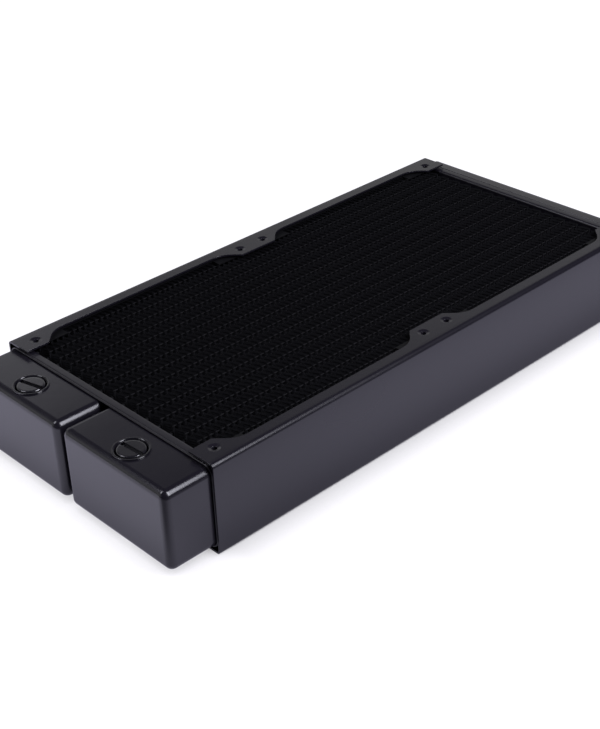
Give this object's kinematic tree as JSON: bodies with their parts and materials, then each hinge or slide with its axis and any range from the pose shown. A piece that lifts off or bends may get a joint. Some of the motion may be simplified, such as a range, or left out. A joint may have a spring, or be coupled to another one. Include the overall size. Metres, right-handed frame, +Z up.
{
  "type": "liquid cooling radiator",
  "caption": "Black two-fan liquid cooling radiator with folded fins between flat tubes, folded side rails, two port tanks with slotted screw plugs and a return tank.",
  "frame": {"origin": "middle of the lower grid of screw holes, on the face that the radiator rests on", "axes": "+X along the length, from the two port tanks to the return tank; +Z up, from the lower rail faces to the upper ones; +Y towards the outlet tank"},
  "size_m": [0.3147, 0.143, 0.045],
  "materials": {
    "rail_paint": "semi-gloss black paint",
    "header_paint": "semi-gloss black paint",
    "tank_paint": "smooth semi-gloss black paint",
    "core_paint": "satin black paint",
    "tube_paint": "satin black paint",
    "fin_paint": "thin satin black paint",
    "port_finish": "gloss black",
    "plug_finish": "gloss black plating",
    "seal_rubber": "black rubber"
  },
  "bodies": {
    "root": {"side_rail_left": "rail_paint", "side_rail_right": "rail_paint", "header_plate_front": "header_paint", "header_plate_rear": "header_paint", "inlet_tank": "tank_paint", "outlet_tank": "tank_paint", "return_tank": "tank_paint", "inlet_port_top": "port_finish", "inlet_port_bottom": "port_finish", "outlet_port_top": "port_finish", "outlet_port_bottom": "port_finish", "screw_guard_top_left": "core_paint", "screw_guard_top_right": "core_paint", "screw_guard_bottom_left": "core_paint", "screw_guard_bottom_right": "core_paint", "side_plate_left": "core_paint", "side_plate_right": "core_paint", "flat_tube_01": "tube_paint", "flat_tube_02": "tube_paint", "flat_tube_03": "tube_paint", "flat_tube_04": "tube_paint", "flat_tube_05": "tube_paint", "flat_tube_06": "tube_paint", "flat_tube_07": "tube_paint", "flat_tube_08": "tube_paint", "flat_tube_09": "tube_paint", "flat_tube_10": "tube_paint", "flat_tube_11": "tube_paint", "flat_tube_12": "tube_paint", "flat_tube_13": "tube_paint", "flat_tube_14": "tube_paint", "flat_tube_15": "tube_paint", "flat_tube_16": "tube_paint", "cooling_fin_01": "fin_paint", "cooling_fin_02": "fin_paint", "cooling_fin_03": "fin_paint", "cooling_fin_04": "fin_paint", "cooling_fin_05": "fin_paint", "cooling_fin_06": "fin_paint", "cooling_fin_07": "fin_paint", "cooling_fin_08": "fin_paint", "cooling_fin_09": "fin_paint", "cooling_fin_10": "fin_paint", "cooling_fin_11": "fin_paint", "cooling_fin_12": "fin_paint", "cooling_fin_13": "fin_paint", "cooling_fin_14": "fin_paint", "cooling_fin_15": "fin_paint", "cooling_fin_16": "fin_paint", "cooling_fin_17": "fin_paint"},
    "inlet_seal": {"inlet_plug_seal": "seal_rubber"},
    "inlet_plug": {"inlet_plug": "plug_finish"},
    "outlet_seal": {"outlet_plug_seal": "seal_rubber"},
    "outlet_plug": {"outlet_plug": "plug_finish"}
  },
  "joints": [
    {"name": "inlet_plug_lift", "type": "slide", "parent": "root", "child": "inlet_seal", "axis": [0, 0, 1], "range_m": [0, 0.00669]},
    {"name": "inlet_plug_turn", "type": "hinge", "parent": "inlet_seal", "child": "inlet_plug", "pos_m": [-0.1537, -0.03555, 0.0389], "axis": [0, 0, 1], "range_deg": [0, 1800]},
    {"name": "outlet_plug_lift", "type": "slide", "parent": "root", "child": "outlet_seal", "axis": [0, 0, 1], "range_m": [0, 0.00669]},
    {"name": "outlet_plug_turn", "type": "hinge", "parent": "outlet_seal", "child": "outlet_plug", "pos_m": [-0.1537, 0.03555, 0.0389], "axis": [0, 0, 1], "range_deg": [0, 1800]}
  ],
  "couplings": [
    {"joint": "inlet_plug_lift", "follows": "inlet_plug_turn", "m_per_rad": 0.00021279},
    {"joint": "outlet_plug_lift", "follows": "outlet_plug_turn", "m_per_rad": 0.00021279}
  ]
}
